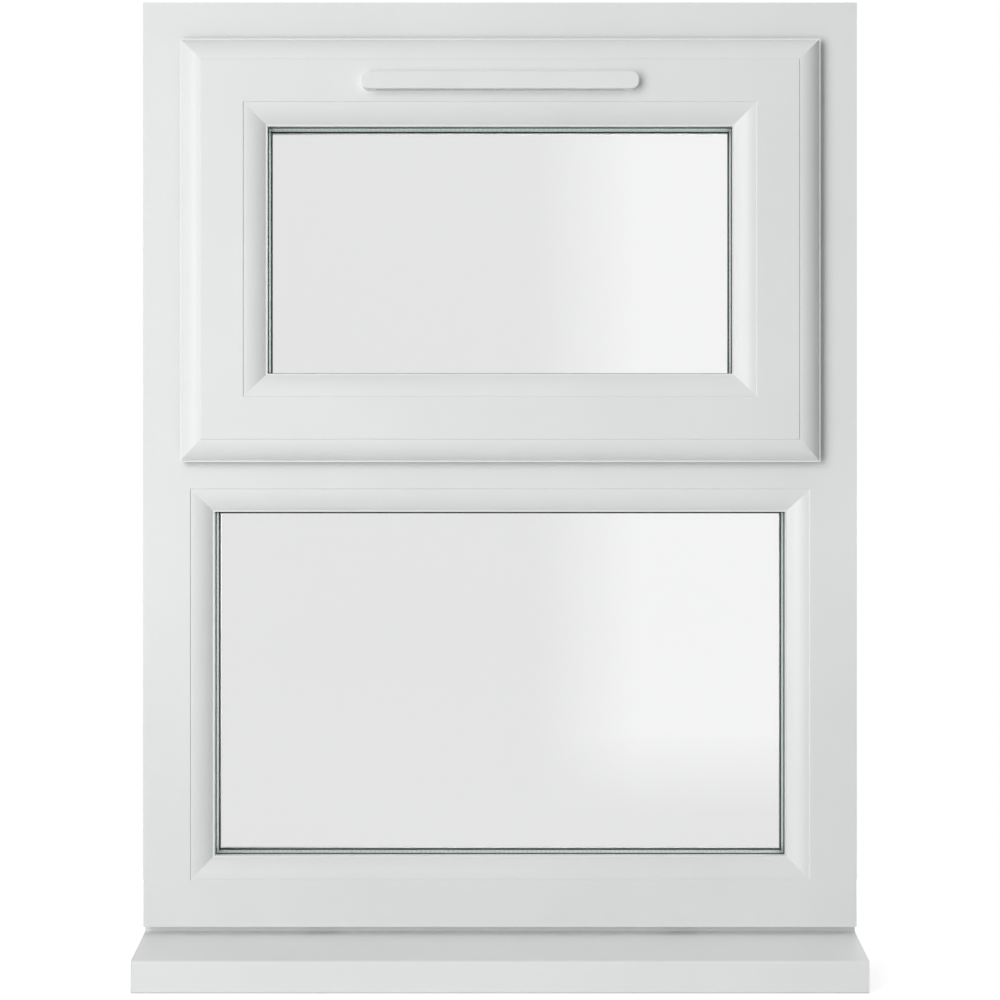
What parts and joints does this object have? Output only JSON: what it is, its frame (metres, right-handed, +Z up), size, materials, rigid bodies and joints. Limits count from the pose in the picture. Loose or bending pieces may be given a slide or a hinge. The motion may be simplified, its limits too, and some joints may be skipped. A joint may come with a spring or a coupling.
{
  "type": "top hung window",
  "caption": "White plastic window with a top hung sash over a fixed light, double glazed, with moulded beads, a vent canopy, friction stays, a lever lock and a projecting cill.",
  "frame": {"origin": "middle of the cill's bedding face, in the plane of the frame's outer face", "axes": "+X along the width, +Y from the outside to the room, +Z up"},
  "size_m": [0.61, 0.158, 0.8323],
  "materials": {
    "upvc": "satin",
    "glass": "clear",
    "rubber": "matt",
    "spacer": "satin",
    "packer": "matt",
    "steel": "brushed",
    "handle": "satin"
  },
  "bodies": {
    "frame": {"frame_head": "upvc", "frame_jamb_left": "upvc", "frame_jamb_right": "upvc", "frame_bottom_rail": "upvc", "transom": "upvc", "cill": "upvc", "cill_end_caps": "upvc", "lower_outer_pane": "glass", "lower_inner_pane": "glass", "lower_spacer_bar": "spacer", "lower_bead_top": "upvc", "lower_bead_bottom": "upvc", "lower_bead_left": "upvc", "lower_bead_right": "upvc", "lower_bead_gasket": "rubber", "lower_inner_gasket": "rubber", "lower_glazing_packers": "packer", "frame_weatherseal": "rubber", "stay_track_left": "steel", "stay_track_right": "steel", "frame_stay_rivets": "steel", "lock_keeps": "steel"},
    "upper_arms": {"upper_arm_left": "steel", "upper_arm_right": "steel"},
    "lower_arms": {"lower_arm_left": "steel", "lower_arm_right": "steel"},
    "sash": {"sash_top_rail": "upvc", "sash_bottom_rail": "upvc", "sash_stile_left": "upvc", "sash_stile_right": "upvc", "upper_outer_pane": "glass", "upper_inner_pane": "glass", "upper_spacer_bar": "spacer", "upper_bead_top": "upvc", "upper_bead_bottom": "upvc", "upper_bead_left": "upvc", "upper_bead_right": "upvc", "upper_bead_gasket": "rubber", "upper_inner_gasket": "rubber", "upper_glazing_packers": "packer", "sash_weatherseal": "rubber", "sash_bar_left": "steel", "sash_bar_right": "steel", "sash_stay_rivets": "steel", "vent_canopy": "upvc", "vent_body": "upvc", "espag_faceplate": "steel", "gearbox_case": "steel", "handle_base": "handle"},
    "handle": {"handle_lever": "handle", "spindle": "steel", "gearbox_pinion": "steel"},
    "drive_bar": {"espag_drive_bar": "steel", "lock_cams": "steel"},
    "vent_shutter": {"vent_shutter": "upvc"}
  },
  "joints": [
    {"name": "upper_arm_swing", "type": "hinge", "parent": "frame", "child": "upper_arms", "pos_m": [0, 0.0275, 0.6349], "axis": [1, 0, 0], "range_deg": [0, 28.12]},
    {"name": "sash_swing", "type": "hinge", "parent": "upper_arms", "child": "sash", "pos_m": [0, 0.0114, 0.7231], "axis": [-1, 0, 0], "range_deg": [0, 60]},
    {"name": "lower_arm_swing", "type": "hinge", "parent": "frame", "child": "lower_arms", "pos_m": [0, 0.0395, 0.4858], "axis": [1, 0, 0], "range_deg": [0, 14.92]},
    {"name": "handle_turn", "type": "hinge", "parent": "sash", "child": "handle", "pos_m": [0, 0.05, 0.46925], "axis": [0, -1, 0], "range_deg": [0, 90]},
    {"name": "drive_bar_slide", "type": "slide", "parent": "sash", "child": "drive_bar", "axis": [1, 0, 0], "range_m": [0, 0.018]},
    {"name": "vent_slide", "type": "slide", "parent": "sash", "child": "vent_shutter", "axis": [1, 0, 0], "range_m": [0, 0.012]}
  ],
  "couplings": [
    {"joint": "upper_arm_swing", "follows": "sash_swing", "ratio": 0.46867},
    {"joint": "lower_arm_swing", "follows": "sash_swing", "ratio": 0.24867},
    {"joint": "drive_bar_slide", "follows": "handle_turn", "m_per_rad": 0.011459}
  ]
}
